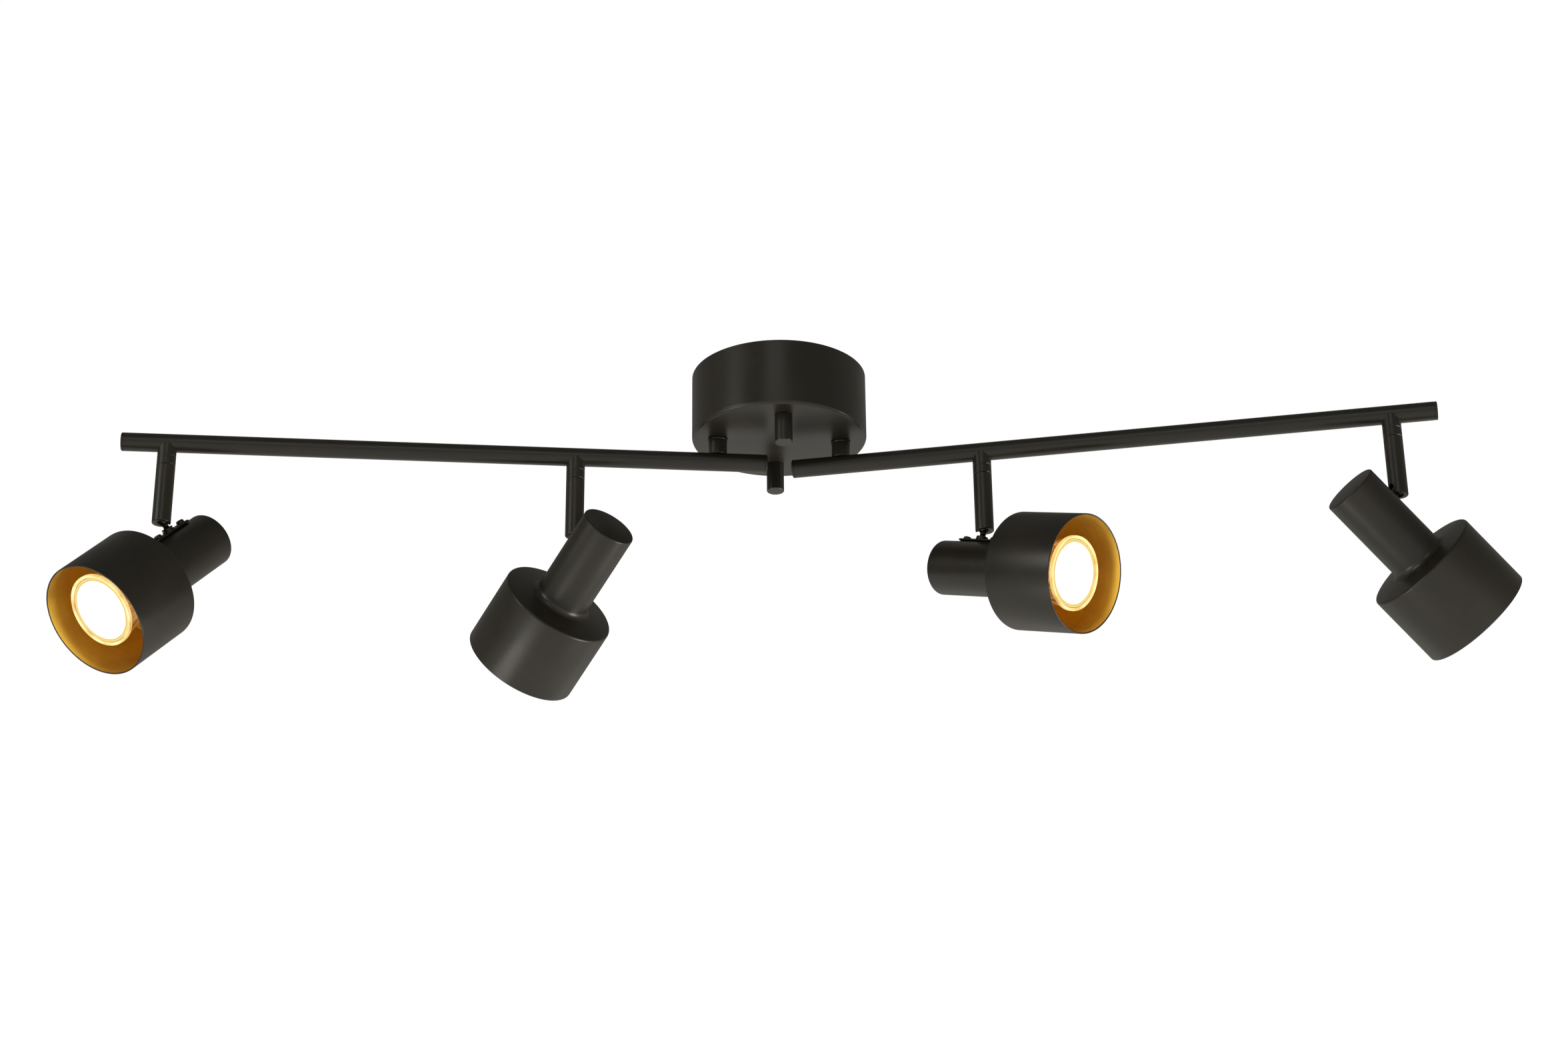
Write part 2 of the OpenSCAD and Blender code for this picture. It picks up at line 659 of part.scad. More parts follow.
canopy_shell();
mounting_bracket();
bracket_fasteners();
cap_nuts();
post_rings();
terminal_block();
terminal_screws();
canopy_leads();
for (s = SIDES) {
  bar(s);
  bar_collars(s);
  swivel_nipple(s);
  flange_nut(s);
  end_caps(s);
  stem_spindles(s);
}
for (h = HEADS) {
  stem_tube(h);
  knuckle(h);
  knuckle_nuts(h);
  knuckle_plate(h);
  plate_screws(h);
  head_shell(h);
  holder_bracket(h);
  lampholder(h);
  lamp_body(h);
  lamp_glass(h);
}
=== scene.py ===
"""Ceiling spotlight bar: the visual model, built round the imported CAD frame."""

import json
import math

import bpy
from mathutils import Matrix, Vector


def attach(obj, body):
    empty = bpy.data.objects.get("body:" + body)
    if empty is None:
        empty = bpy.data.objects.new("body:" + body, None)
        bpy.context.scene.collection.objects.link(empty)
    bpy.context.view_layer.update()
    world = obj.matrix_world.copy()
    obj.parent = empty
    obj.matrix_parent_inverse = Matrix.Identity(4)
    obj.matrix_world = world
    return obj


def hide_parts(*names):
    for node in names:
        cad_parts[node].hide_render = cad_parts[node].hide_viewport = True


bl_info = {
    "name": "Ceiling Spotlight Bar",
    "version": (1, 0, 0),
    "blender": (4, 5, 0),
    "location": "3D View > Sidebar > Spot Bar",
    "description": "Adds shades, lamps, knuckles and finishes to a ceiling spotlight bar",
    "category": "Object",
}

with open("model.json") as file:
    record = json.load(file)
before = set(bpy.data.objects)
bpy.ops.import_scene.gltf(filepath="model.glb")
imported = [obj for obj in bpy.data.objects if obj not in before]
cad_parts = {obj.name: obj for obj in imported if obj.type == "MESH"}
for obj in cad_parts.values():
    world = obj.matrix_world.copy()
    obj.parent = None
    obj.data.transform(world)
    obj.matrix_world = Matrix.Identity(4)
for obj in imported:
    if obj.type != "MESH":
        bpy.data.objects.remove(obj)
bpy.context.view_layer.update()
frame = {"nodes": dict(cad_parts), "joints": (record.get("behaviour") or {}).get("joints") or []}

MM = 0.001
HEADS = (1, 2, 3, 4)
SIDES = ("left", "right")

# Modelling
ROUND = 96  # segments of a full turn on the large turned pieces
NECK_ROUND = 48  # the same on the ball necks
PIN_ROUND = 24  # the same on the lamps' pins
MERGE_WITHIN = 2e-6
NO_LENGTH = 1e-7
TURNED_SMOOTH = math.radians(32)  # faces of turned pieces at a smaller angle are shaded smooth
PLATE_SMOOTH = math.radians(35)  # the same on the plates
LATHE_SCALE = 10  # of the height in a lathe map, per metre
PIN_PROFILE = ((0, -7), (2.2, -7), (2.5, -6.7), (2.5, -5.3), (1.5, -5), (1.5, 0.5), (0, 0.5))  # mm
PIN_OFFSET = 5 * MM  # from the lamp's axis

# Finishes
RELIEF = 0.0001  # depth of the finest relief
LAMP_METAL = (0.75, 0.72, 0.66)
DUST = (0.05, 0.047, 0.042)
ZINC_PATINA = (0.42, 0.41, 0.36)
BRASS_PATINA = (0.45, 0.28, 0.09)

# Stage
FLOOR_SIZE = 30
FLOOR_DROP = 3.2
FLOOR_GLOW = (1.0, 0.965, 0.90, 1.0)
FLOOR_TONES = ((0.80, 0.80, 0.79), (0.84, 0.84, 0.83))
STUDIO_TONES = [(0.0, 0.80), (0.45, 0.42), (0.7, 0.22), (1.0, 0.16)]  # from straight down to straight up
STUDIO_TINT = (1.0, 0.955, 0.86, 1.0)
LIGHT_TINT = (1.0, 0.955, 0.875)
LIGHT_TARGET = (0, 0, -0.1)
LIGHTS = (  # name, place, size in metres, power in watts
    ("soft box left", (-2.2, -1.2, 0.4), 0.9, 9.0),
    ("soft box right", (1.9, -0.2, -1.5), 1.0, 34.0),
    ("soft box low left", (-1.9, -0.6, -2.0), 1.0, 13.0),
    ("soft box front", (-0.4, -2.6, 0.9), 1.0, 3.5),
)
CAMERA_PLACE = (-0.137051, -1.799689, -0.899397)
CAMERA_TURN = (-4.438, 23.623, 0.655)  # yaw, pitch and roll in degrees
SENSOR_WIDTH = 36.0
LENS = 65.7091837  # focal length for that sensor width
CLIP = (0.05, 60)


# ---------------------------------------------------------------- settings


def length(name, description, default):
    """A length setting, given in millimetres and stored in metres."""
    return bpy.props.FloatProperty(
        name=name, description=description, default=default * MM, min=0.0, precision=4,
        subtype="DISTANCE", unit="LENGTH",
    )


def tint(name, description, default):
    """A colour setting."""
    return bpy.props.FloatVectorProperty(
        name=name, description=description, default=default, size=3, min=0.0, max=1.0,
        subtype="COLOR",
    )


class ShadeSettings(bpy.types.PropertyGroup):
    """Sizes of the spun head shells."""

    neck_radius: length("Neck radius", "Outer radius of the narrow tube", 18.65)
    neck_length: length("Neck length", "From the closed end to the shoulder", 65.9)
    shade_radius: length("Shade radius", "Outer radius of the wide shade", 39.8)
    shade_length: length("Shade length", "From the shoulder to the rim", 55.2)
    wall: length("Wall", "Sheet thickness", 1.0)
    fillet: length("Fillet", "Concave radius between the tube and the shoulder", 4.7)
    drop: length("Shoulder drop", "Fall of the shoulder towards its edge", 1.7)
    edge: length("Shoulder edge", "Radius of the shoulder's edge", 1.7)
    cap_edge: length("Closed end edge", "Radius of the closed end's edge", 1.2)
    knuckle_at: length("Knuckle place", "From the closed end to the knuckle", 28.0)
    knuckle_drop: length("Knuckle drop", "From the ball centre to the head's axis", 29.87)


class LampSettings(bpy.types.PropertyGroup):
    """Sizes of the lamps."""

    radius: length("Lamp radius", "Outer radius of the front ring", 25.0)
    height: length("Lamp height", "Without its pins", 46.0)
    recess: length("Recess", "Front edge behind the shade's rim", 7.8)
    base_radius: length("Base radius", "Radius of the lamp's base", 9.5)
    base_height: length("Base height", "Height of the lamp's base", 12.0)
    lean: bpy.props.FloatVectorProperty(
        name="Lean", description="Lean of each lamp in its holder, with its front towards the plate",
        default=(math.radians(3.9), 0, 0, 0), size=4, unit="ROTATION",
    )
    glow: bpy.props.FloatProperty(
        name="Glow", description="Strength of the lit front glass", default=3.0, min=0.0
    )


class KnuckleSettings(bpy.types.PropertyGroup):
    """Sizes of the ball knuckles and the plates under them."""

    ball_radius: length("Ball radius", "Radius of the ball", 5.05)
    neck_radius: length("Neck radius", "Outer radius of the threaded neck", 2.1)
    bore_radius: length("Bore radius", "Radius of the bore for the wires", 1.1)
    reach: length("Reach", "From the ball centre to the plate", 9.5)
    pitch: length("Thread pitch", "Distance between two thread crests", 0.5)
    plate_length: length("Plate length", "Length of the plate", 32.1)
    plate_width: length("Plate width", "Width of the plate", 9.5)
    plate_thickness: length("Plate thickness", "Thickness of the plate", 1.7)
    plate_offset: length("Plate offset", "From the knuckle to the plate's middle", 1.0)


class FinishSettings(bpy.types.PropertyGroup):
    """Colours of the finishes."""

    coat: tint(
        "Powder coat", "Satin coat on the canopy, bars, stems and shades", (0.0132, 0.0112, 0.0074)
    )
    gold: tint("Gold lacquer", "Lacquer inside the shades", (0.90, 0.62, 0.115))
    zinc: tint("Zinc", "Zinc plate on steel", (0.55, 0.56, 0.57))
    black_zinc: tint("Black zinc", "Dark plate on the ball necks", (0.075, 0.070, 0.062))
    brass: tint("Brass", "Turned brass", (0.72, 0.50, 0.20))
    ceramic: tint("Ceramic", "Lamp holders", (0.80, 0.76, 0.68))
    block: tint("Block", "Terminal block", (0.78, 0.78, 0.74))
    sheath: tint("Sheath", "Sheath of the leads", (0.55, 0.55, 0.53))
    glow_centre: tint("Glow centre", "Middle of the lit glass", (1.0, 0.93, 0.80))
    glow_edge: tint("Glow edge", "Edge of the lit glass", (0.27, 0.20, 0.075))


class SpotBarSettings(bpy.types.PropertyGroup):
    """All settings of the spotlight bar."""

    shade: bpy.props.PointerProperty(type=ShadeSettings)
    lamp: bpy.props.PointerProperty(type=LampSettings)
    knuckle: bpy.props.PointerProperty(type=KnuckleSettings)
    finish: bpy.props.PointerProperty(type=FinishSettings)


def settings():
    """The settings of the open scene."""
    return bpy.context.scene.spot_bar


# ---------------------------------------------------------------- places


def head_places():
    """Number and matrix of each head's own frame.

    Its origin is the ball's centre, +X runs along the head to its rim, and +Z out of its plate.
    """
    joints = {joint["name"]: joint for joint in frame["joints"]}
    for number in HEADS:
        joint = joints[f"head_{number}_tilt"]
        turn = math.atan2(-joint["axis"][0], joint["axis"][1])
        lean = -math.radians(joint["range_deg"][0])
        yield number, (
            Matrix.Translation(joint["pos_m"])
            @ Matrix.Rotation(turn, 4, "Z")
            @ Matrix.Rotation(lean, 4, "Y")
        )


def along_head():
    """From a piece made round +Z, starting at the closed end, to the head's own frame."""
    shade = settings().shade
    return Matrix.Translation((-shade.knuckle_at, 0, -shade.knuckle_drop)) @ Matrix.Rotation(
        math.pi / 2, 4, "Y"
    )


def along_lamp(number):
    """From a piece made round +Z, starting at the lamp's back face, to the head's own frame."""
    shade, lamp = settings().shade, settings().lamp
    back = shade.neck_length + shade.shade_length - lamp.recess - lamp.height
    lean = Matrix.Rotation(-lamp.lean[number - 1], 4, "Y")
    return along_head() @ Matrix.Translation((0, 0, back)) @ lean


# ---------------------------------------------------------------- modelling


def deselect():
    """Leaves edit mode and selects nothing."""
    if bpy.context.object and bpy.context.object.mode != "OBJECT":
        bpy.ops.object.mode_set(mode="OBJECT")
    bpy.ops.object.select_all(action="DESELECT")


def pick(obj):
    """Selects one object and makes it active."""
    deselect()
    obj.select_set(True)
    bpy.context.view_layer.objects.active = obj


def named(name):
    """Names the active object and its mesh."""
    obj = bpy.context.object
    obj.name = name
    obj.data.name = name
    return obj


def arc(cx, cz, radius, start, end, steps=6):
    """Points of an arc in the profile plane, angles in degrees."""
    angles = [math.radians(start + (end - start) * i / steps) for i in range(steps + 1)]
    return [(cx + radius * math.cos(a), cz + radius * math.sin(a)) for a in angles]


def turned(name, profile, steps=ROUND):
    """Spins a profile of (radius, height) points round +Z into a closed smooth solid."""
    deselect()
    bpy.ops.mesh.primitive_plane_add(size=MM)
    obj = named(name)
    bpy.ops.object.mode_set(mode="EDIT")
    bpy.ops.mesh.merge(type="CENTER")
    bpy.ops.transform.translate(value=(profile[0][0], 0, profile[0][1]))
    for (r0, z0), (r1, z1) in zip(profile, profile[1:]):
        bpy.ops.mesh.extrude_vertices_move(
            TRANSFORM_OT_translate={"value": (r1 - r0, 0, z1 - z0)}
        )
    bpy.ops.mesh.select_all(action="SELECT")
    bpy.ops.mesh.spin(steps=steps, angle=math.tau, center=(0, 0, 0), axis=(0, 0, 1))
    bpy.ops.mesh.select_all(action="SELECT")
    bpy.ops.mesh.remove_doubles(threshold=MERGE_WITHIN)
    bpy.ops.mesh.dissolve_degenerate(threshold=NO_LENGTH)
    bpy.ops.mesh.normals_make_consistent(inside=False)
    bpy.ops.object.mode_set(mode="OBJECT")
    bpy.ops.object.shade_smooth_by_angle(angle=TURNED_SMOOTH)
    lathe_map(obj)
    return obj


def lathe_map(obj):
    """UV map of a turned piece: the turn round its axis across, and its height up."""
    layer = obj.data.uv_layers.new(name="Lathe")
    verts = obj.data.vertices
    for face in obj.data.polygons:
        middle = math.atan2(face.center.y, face.center.x)
        for loop in face.loop_indices:
            spot = verts[obj.data.loops[loop].vertex_index].co
            around = math.atan2(spot.y, spot.x) if spot.xy.length > MERGE_WITHIN / 2 else middle
            around = middle + (around - middle + math.pi) % math.tau - math.pi
            layer.data[loop].uv = (around / math.tau, spot.z * LATHE_SCALE)


def place(obj, matrix):
    """Puts the piece's place into its mesh, so that its object stays at the origin."""
    pick(obj)
    obj.matrix_world = matrix
    bpy.ops.object.transform_apply(location=True, rotation=True, scale=True)
    return obj


def twin(obj, name):
    """A copy with its own mesh."""
    copy = obj.copy()
    copy.data = obj.data.copy()
    copy.name = name
    copy.data.name = name
    bpy.context.scene.collection.objects.link(copy)
    return copy


def on_each_head(master, stem_name, matrix, replaced=None):
    """One copy of the master on each head; the matrix may be a function of the head's number."""
    for number, at in head_places():
        local = matrix(number) if callable(matrix) else matrix
        piece = place(twin(master, f"{stem_name}_{number}"), at @ local)
        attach(piece, f"head_{number}")
        if replaced:
            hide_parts(f"{replaced}_{number}")
    bpy.data.objects.remove(master)


# ---------------------------------------------------------------- shader groups


def node(tree, kind, inputs=None, **options):
    """Adds a node; inputs are values or sockets by name or number."""
    made = tree.nodes.new(kind)
    for key, value in options.items():
        setattr(made, key, value)
    for key, value in (inputs or {}).items():
        if isinstance(value, bpy.types.NodeSocket):
            tree.links.new(value, made.inputs[key])
        else:
            made.inputs[key].default_value = value
    return made


def ramp(tree, factor, stops):
    """A colour ramp; each stop is (place, colour or grey)."""
    made = tree.nodes.new("ShaderNodeValToRGB")
    elements = made.color_ramp.elements
    while len(elements) < len(stops):
        elements.new(0.5)
    for element, (at, colour) in zip(elements, stops):
        element.position = at
        grey = isinstance(colour, (int, float))
        element.color = (colour, colour, colour, 1) if grey else (*colour, 1)
    tree.links.new(factor, made.inputs["Fac"])
    return made.outputs["Color"]


def new_group(name, inputs, outputs):
    """A shader node group: inputs as (name, type, default), outputs as (name, type)."""
    tree = bpy.data.node_groups.new(name, "ShaderNodeTree")
    for label, kind, default in inputs:
        made = tree.interface.new_socket(name=label, in_out="INPUT", socket_type=kind)
        if default is not None:
            made.default_value = default
    for label, kind in outputs:
        tree.interface.new_socket(name=label, in_out="OUTPUT", socket_type=kind)
    given = tree.nodes.new("NodeGroupInput").outputs
    out = tree.nodes.new("NodeGroupOutput").inputs
    return tree, given, out


def grain_group(name):
    """Fine orange peel with larger soft blotches, as on powder coat, metal, plastic and ceramic."""
    tree, given, out = new_group(
        name,
        [("Vector", "NodeSocketVector", None), ("Fine", "NodeSocketFloat", 900.0),
         ("Blotch", "NodeSocketFloat", 30.0)],
        [("Height", "NodeSocketFloat"), ("Tone", "NodeSocketFloat")],
    )
    fine = node(tree, "ShaderNodeTexNoise",
                {"Vector": given["Vector"], "Scale": given["Fine"], "Detail": 3.0, "Roughness": 0.55})
    peel = node(tree, "ShaderNodeTexVoronoi", {"Vector": given["Vector"]}, feature="SMOOTH_F1")
    coarser = 0.6
    wide = node(tree, "ShaderNodeMath", {0: given["Fine"], 1: coarser}, operation="MULTIPLY")
    tree.links.new(wide.outputs[0], peel.inputs["Scale"])
    blotch = node(tree, "ShaderNodeTexNoise",
                  {"Vector": given["Vector"], "Scale": given["Blotch"], "Detail": 4.0, "Roughness": 0.6})
    height = node(tree, "ShaderNodeMath", {0: fine.outputs["Fac"], 1: peel.outputs["Distance"]},
                  operation="ADD")
    tone = node(tree, "ShaderNodeMapRange",
                {"Value": blotch.outputs["Fac"], "From Min": 0.3, "From Max": 0.7})
    tree.links.new(height.outputs[0], out["Height"])
    tree.links.new(tone.outputs["Result"], out["Tone"])
    return tree


def dust_group(name):
    """Sparse dust specks and a soft film that gather on faces that look up."""
    tree, given, out = new_group(
        name,
        [("Vector", "NodeSocketVector", None), ("Amount", "NodeSocketFloat", 0.3),
         ("Scale", "NodeSocketFloat", 220.0)],
        [("Mask", "NodeSocketFloat")],
    )
    geometry = node(tree, "ShaderNodeNewGeometry")
    up = node(tree, "ShaderNodeSeparateXYZ", {"Vector": geometry.outputs["Normal"]})
    lying = node(tree, "ShaderNodeMapRange",
                 {"Value": up.outputs["Z"], "From Min": 0.2, "From Max": 0.95})
    film = node(tree, "ShaderNodeTexNoise",
                {"Vector": given["Vector"], "Scale": given["Scale"], "Detail": 5.0, "Roughness": 0.7})
    shown = node(tree, "ShaderNodeMapRange",
                 {"Value": film.outputs["Fac"], "From Min": 0.45, "From Max": 0.75})
    joined = node(tree, "ShaderNodeMath", {0: lying.outputs["Result"], 1: shown.outputs["Result"]},
                  operation="MULTIPLY")
    mask = node(tree, "ShaderNodeMath", {0: joined.outputs[0], 1: given["Amount"]},
                operation="MULTIPLY")
    tree.links.new(mask.outputs[0], out["Mask"])
    return tree


def ring_group(name):
    """Fine rings left by spinning or turning, read along the height of a lathe map."""
    tree, given, out = new_group(
        name,
        [("Vector", "NodeSocketVector", None), ("Count", "NodeSocketFloat", 700.0)],
        [("Height", "NodeSocketFloat"), ("Tone", "NodeSocketFloat")],
    )
    stretch, slower = 0.02, 0.06
    parts = node(tree, "ShaderNodeSeparateXYZ", {"Vector": given["Vector"]})
    across = node(tree, "ShaderNodeMath", {0: parts.outputs["X"], 1: stretch}, operation="MULTIPLY")
    line = node(tree, "ShaderNodeCombineXYZ", {"X": across.outputs[0], "Y": parts.outputs["Y"]})
    rings = node(tree, "ShaderNodeTexNoise",
                 {"Vector": line.outputs["Vector"], "Scale": given["Count"], "Detail": 2.0})
    slow_scale = node(tree, "ShaderNodeMath", {0: given["Count"], 1: slower}, operation="MULTIPLY")
    slow = node(tree, "ShaderNodeTexNoise", {"Vector": line.outputs["Vector"], "Detail": 3.0})
    tree.links.new(slow_scale.outputs[0], slow.inputs["Scale"])
    tree.links.new(rings.outputs["Fac"], out["Height"])
    tree.links.new(slow.outputs["Fac"], out["Tone"])
    return tree


GROUPS = {
    "grain": ("Coat grain", grain_group),
    "dust": ("Settled dust", dust_group),
    "rings": ("Turning rings", ring_group),
}


def use_group(tree, key, **inputs):
    """Places a shared group in a material; the group is built on first use."""
    name, build = GROUPS[key]
    group = bpy.data.node_groups.get(name) or build(name)
    made = tree.nodes.new("ShaderNodeGroup")
    made.node_tree = group
    for label, value in inputs.items():
        if isinstance(value, bpy.types.NodeSocket):
            tree.links.new(value, made.inputs[label])
        else:
            made.inputs[label].default_value = value
    return made.outputs


# ---------------------------------------------------------------- materials


def blank(name, **constants):
    """A material with plain values on its Principled BSDF; no tree and shader if it is there already."""
    material = bpy.data.materials.get(name)
    if material:
        return material, None, None
    material = bpy.data.materials.new(name)
    material.use_nodes = True
    tree = material.node_tree
    shader = tree.nodes["Principled BSDF"]
    for label, value in constants.items():
        shader.inputs[label.replace("_", " ").title().replace("Ior", "IOR")].default_value = value
    return material, tree, shader


def shade_between(tree, factor, low, high):
    """Mixes two colours by a factor."""
    mixed = node(tree, "ShaderNodeMix", data_type="RGBA")
    tree.links.new(factor, mixed.inputs["Factor"])
    mixed.inputs["A"].default_value = (*low, 1)
    mixed.inputs["B"].default_value = (*high, 1)
    return mixed.outputs["Result"]


def scaled(colour, factor):
    """A colour made darker or lighter."""
    return tuple(min(1.0, c * factor) for c in colour)


def bumped(tree, shader, height, strength, distance=RELIEF):
    """Gives a shader a relief."""
    bump = node(tree, "ShaderNodeBump",
                {"Strength": strength, "Distance": distance, "Height": height})
    tree.links.new(bump.outputs["Normal"], shader.inputs["Normal"])


def spread(tree, value, low, high):
    """Maps 0 to 1 onto low to high."""
    made = node(tree, "ShaderNodeMapRange", {"Value": value, "To Min": low, "To Max": high})
    return made.outputs["Result"]


def coated(name, colour, roughness=0.34, fine=900.0, peel=0.1):
    """Satin powder coat: fine peel, soft blotches in tone and gloss, and a little dust on top."""
    material, tree, shader = blank(name, specular_ior_level=0.5)
    if not tree:
        return material
    where = node(tree, "ShaderNodeTexCoord").outputs["Object"]
    grain = use_group(tree, "grain", Vector=where, Fine=fine, Blotch=28.0)
    dust = use_group(tree, "dust", Vector=where, Amount=0.25, Scale=240.0)
    base = shade_between(tree, grain["Tone"], scaled(colour, 0.86), scaled(colour, 1.16))
    mixed = node(tree, "ShaderNodeMix", data_type="RGBA")
    tree.links.new(dust["Mask"], mixed.inputs["Factor"])
    tree.links.new(base, mixed.inputs["A"])
    mixed.inputs["B"].default_value = (*DUST, 1)
    tree.links.new(mixed.outputs["Result"], shader.inputs["Base Color"])
    gloss = spread(tree, grain["Tone"], roughness - 0.04, roughness + 0.05)
    tree.links.new(gloss, shader.inputs["Roughness"])
    bumped(tree, shader, grain["Height"], peel)
    return material


def metal(name, colour, roughness, patina=None):
    """Plated or turned metal with a mottled gloss and a faint patina."""
    material, tree, shader = blank(name, metallic=1.0)
    if not tree:
        return material
    where = node(tree, "ShaderNodeTexCoord").outputs["Object"]
    grain = use_group(tree, "grain", Vector=where, Fine=1500.0, Blotch=60.0)
    base = shade_between(tree, grain["Tone"], patina or scaled(colour, 0.8), colour)
    tree.links.new(base, shader.inputs["Base Color"])
    gloss = spread(tree, grain["Tone"], roughness + 0.12, roughness)
    tree.links.new(gloss, shader.inputs["Roughness"])
    bumped(tree, shader, grain["Height"], 0.06)
    return material


def moulded(name, colour, roughness=0.5, fine=1200.0):
    """Moulded plastic or ceramic with a fine grain and a slight change of tone."""
    material, tree, shader = blank(name)
    if not tree:
        return material
    where = node(tree, "ShaderNodeTexCoord").outputs["Object"]
    grain = use_group(tree, "grain", Vector=where, Fine=fine, Blotch=80.0)
    base = shade_between(tree, grain["Tone"], scaled(colour, 0.9), colour)
    tree.links.new(base, shader.inputs["Base Color"])
    gloss = spread(tree, grain["Tone"], roughness + 0.08, roughness - 0.05)
    tree.links.new(gloss, shader.inputs["Roughness"])
    bumped(tree, shader, grain["Height"], 0.08)
    return material


def gold_lacquer():
    """Satin gold lacquer over spun rings, as inside the shades."""
    colour = settings().finish.gold
    material, tree, shader = blank("gold lacquer", metallic=0.88)
    if not tree:
        return material
    where = node(tree, "ShaderNodeTexCoord").outputs["Object"]
    lathe = node(tree, "ShaderNodeUVMap", uv_map="Lathe").outputs["UV"]
    grain = use_group(tree, "grain", Vector=where, Fine=700.0, Blotch=45.0)
    rings = use_group(tree, "rings", Vector=lathe, Count=420.0)
    tone = node(tree, "ShaderNodeMath", {0: grain["Tone"], 1: rings["Tone"]}, operation="MULTIPLY")
    base = shade_between(tree, tone.outputs[0], scaled(colour, 0.82), scaled(colour, 1.15))
    tree.links.new(base, shader.inputs["Base Color"])
    tree.links.new(spread(tree, grain["Tone"], 0.38, 0.48), shader.inputs["Roughness"])
    height = node(tree, "ShaderNodeMath", {0: grain["Height"], 1: rings["Height"]}, operation="ADD")
    bumped(tree, shader, height.outputs[0], 0.1)
    return material


def lit_glass():
    """Front glass of a lit lamp: white in the middle, amber at the edge, with fine dimples."""
    finish = settings().finish
    lamp = settings().lamp
    material, tree, shader = blank("lit glass", roughness=0.2, emission_strength=lamp.glow)
    if not tree:
        return material
    where = node(tree, "ShaderNodeTexCoord").outputs["Object"]
    out = node(tree, "ShaderNodeAttribute", attribute_name="outwards").outputs["Fac"]
    dimples = node(tree, "ShaderNodeTexVoronoi", {"Vector": where, "Scale": 520.0},
                   feature="SMOOTH_F1")
    mottle = node(tree, "ShaderNodeTexNoise", {"Vector": where, "Scale": 160.0, "Detail": 3.0})
    shift = spread(tree, mottle.outputs["Fac"], -0.02, 0.02)
    factor = node(tree, "ShaderNodeMath", {0: out, 1: shift}, operation="ADD")
    centre, edge = tuple(finish.glow_centre), tuple(finish.glow_edge)
    glow = ramp(tree, factor.outputs[0],
                [(0.0, centre), (0.85, scaled(centre, 0.8)), (0.905, scaled(edge, 1.15)),
                 (0.93, scaled(edge, 0.5)), (0.95, scaled(edge, 1.1)), (0.98, scaled(edge, 0.85)),
                 (1.0, scaled(edge, 0.1))])
    tree.links.new(glow, shader.inputs["Emission Color"])
    tree.links.new(shade_between(tree, out, (0.5, 0.45, 0.35), (0.20, 0.13, 0.05)),
                   shader.inputs["Base Color"])
    bumped(tree, shader, dimples.outputs["Distance"], 0.35, 0.0006)
    return material


def ring_glass():
    """Thick glass ring round the lamp's front, lit from inside."""
    finish = settings().finish
    material, tree, shader = blank("ring glass", roughness=0.15, emission_strength=0.7)
    if not tree:
        return material
    where = node(tree, "ShaderNodeTexCoord").outputs["Object"]
    streak = node(tree, "ShaderNodeTexNoise", {"Vector": where, "Scale": 90.0, "Detail": 4.0})
    glow = ramp(tree, streak.outputs["Fac"], [(0.3, (0.55, 0.36, 0.07)), (0.5, (0.92, 0.70, 0.25)),
                                              (0.7, (1.0, 0.88, 0.52))])
    tree.links.new(glow, shader.inputs["Emission Color"])
    tree.links.new(shade_between(tree, streak.outputs["Fac"], (0.5, 0.33, 0.12), (0.8, 0.6, 0.3)),
                   shader.inputs["Base Color"])
    bumped(tree, shader, streak.outputs["Fac"], 0.2, 0.0004)
    return material


def bowl_glass():
    """Ribbed glass bowl of the lamp: amber light leaks through it between darker ribs."""
    material, tree, shader = blank("bowl glass", roughness=0.22, metallic=0.6, emission_strength=0.35)
    if not tree:
        return material
    lathe = node(tree, "ShaderNodeUVMap", uv_map="Lathe").outputs["UV"]
    place_on = node(tree, "ShaderNodeMapping", {"Vector": lathe, "Scale": (60.0, 4.0, 1.0)})
    ribs = node(tree, "ShaderNodeTexNoise",
                {"Vector": place_on.outputs["Vector"], "Scale": 1.0, "Detail": 2.0, "Roughness": 0.5})
    glow = ramp(tree, ribs.outputs["Fac"], [(0.30, (0.10, 0.035, 0.008)), (0.52, (0.48, 0.22, 0.06)),
                                            (0.72, (0.95, 0.58, 0.24))])
    tree.links.new(glow, shader.inputs["Emission Color"])
    tree.links.new(shade_between(tree, ribs.outputs["Fac"], (0.45, 0.27, 0.09), (0.85, 0.62, 0.32)),
                   shader.inputs["Base Color"])
    bumped(tree, shader, ribs.outputs["Fac"], 0.35, 0.0004)
    return material


def satin_coat():
    """The coat of the large pieces."""
    return coated("satin powder coat", tuple(settings().finish.coat))


def fittings_coat():
    """The coat of the small fittings: a little darker and finer."""
    colour = scaled(settings().finish.coat, 0.9)
    return coated("powder coat on fittings", colour, roughness=0.36, fine=1300.0, peel=0.08)


def lamp_metal():
    """Bright metal of the lamps' pins."""
    return metal("lamp metal", LAMP_METAL, roughness=0.18)


def dress(obj, *materials):
    """Gives an object its materials, slot by slot."""
    obj.data.materials.clear()
    for material in materials:
        obj.data.materials.append(material)


# ---------------------------------------------------------------- operators


